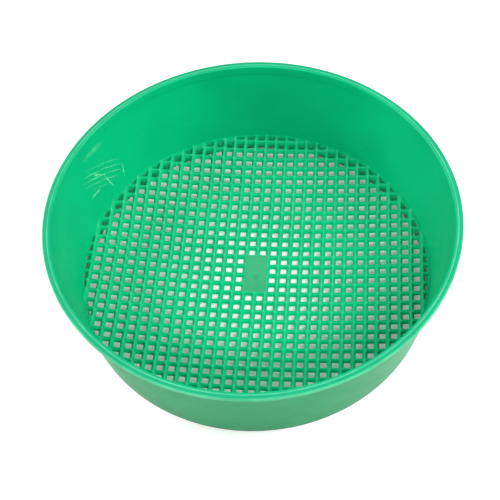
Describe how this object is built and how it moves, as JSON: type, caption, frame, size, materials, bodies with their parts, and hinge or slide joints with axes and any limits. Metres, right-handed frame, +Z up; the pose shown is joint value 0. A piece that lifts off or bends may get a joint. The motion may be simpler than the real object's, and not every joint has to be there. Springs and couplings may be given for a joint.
{
  "type": "soil sieve",
  "caption": "Round plastic garden sieve with a tapered wall, a turned-out rim and a dished square-mesh floor with a solid centre pad.",
  "frame": {"origin": "on the sieve's axis, on the ground under the foot", "axes": "+Z up along the sieve's axis; the mesh bars run along X and Y, and the centre pad is longer along Y"},
  "size_m": [0.3554, 0.3554, 0.096],
  "materials": {
    "sieve_plastic": "satin moulded green polypropylene"
  },
  "bodies": {
    "root": {"top_rim": "sieve_plastic", "rim_collar": "sieve_plastic", "side_wall": "sieve_plastic", "foot_skirt": "sieve_plastic", "floor_border": "sieve_plastic", "mesh_floor": "sieve_plastic", "centre_pad": "sieve_plastic"}
  },
  "joints": []
}
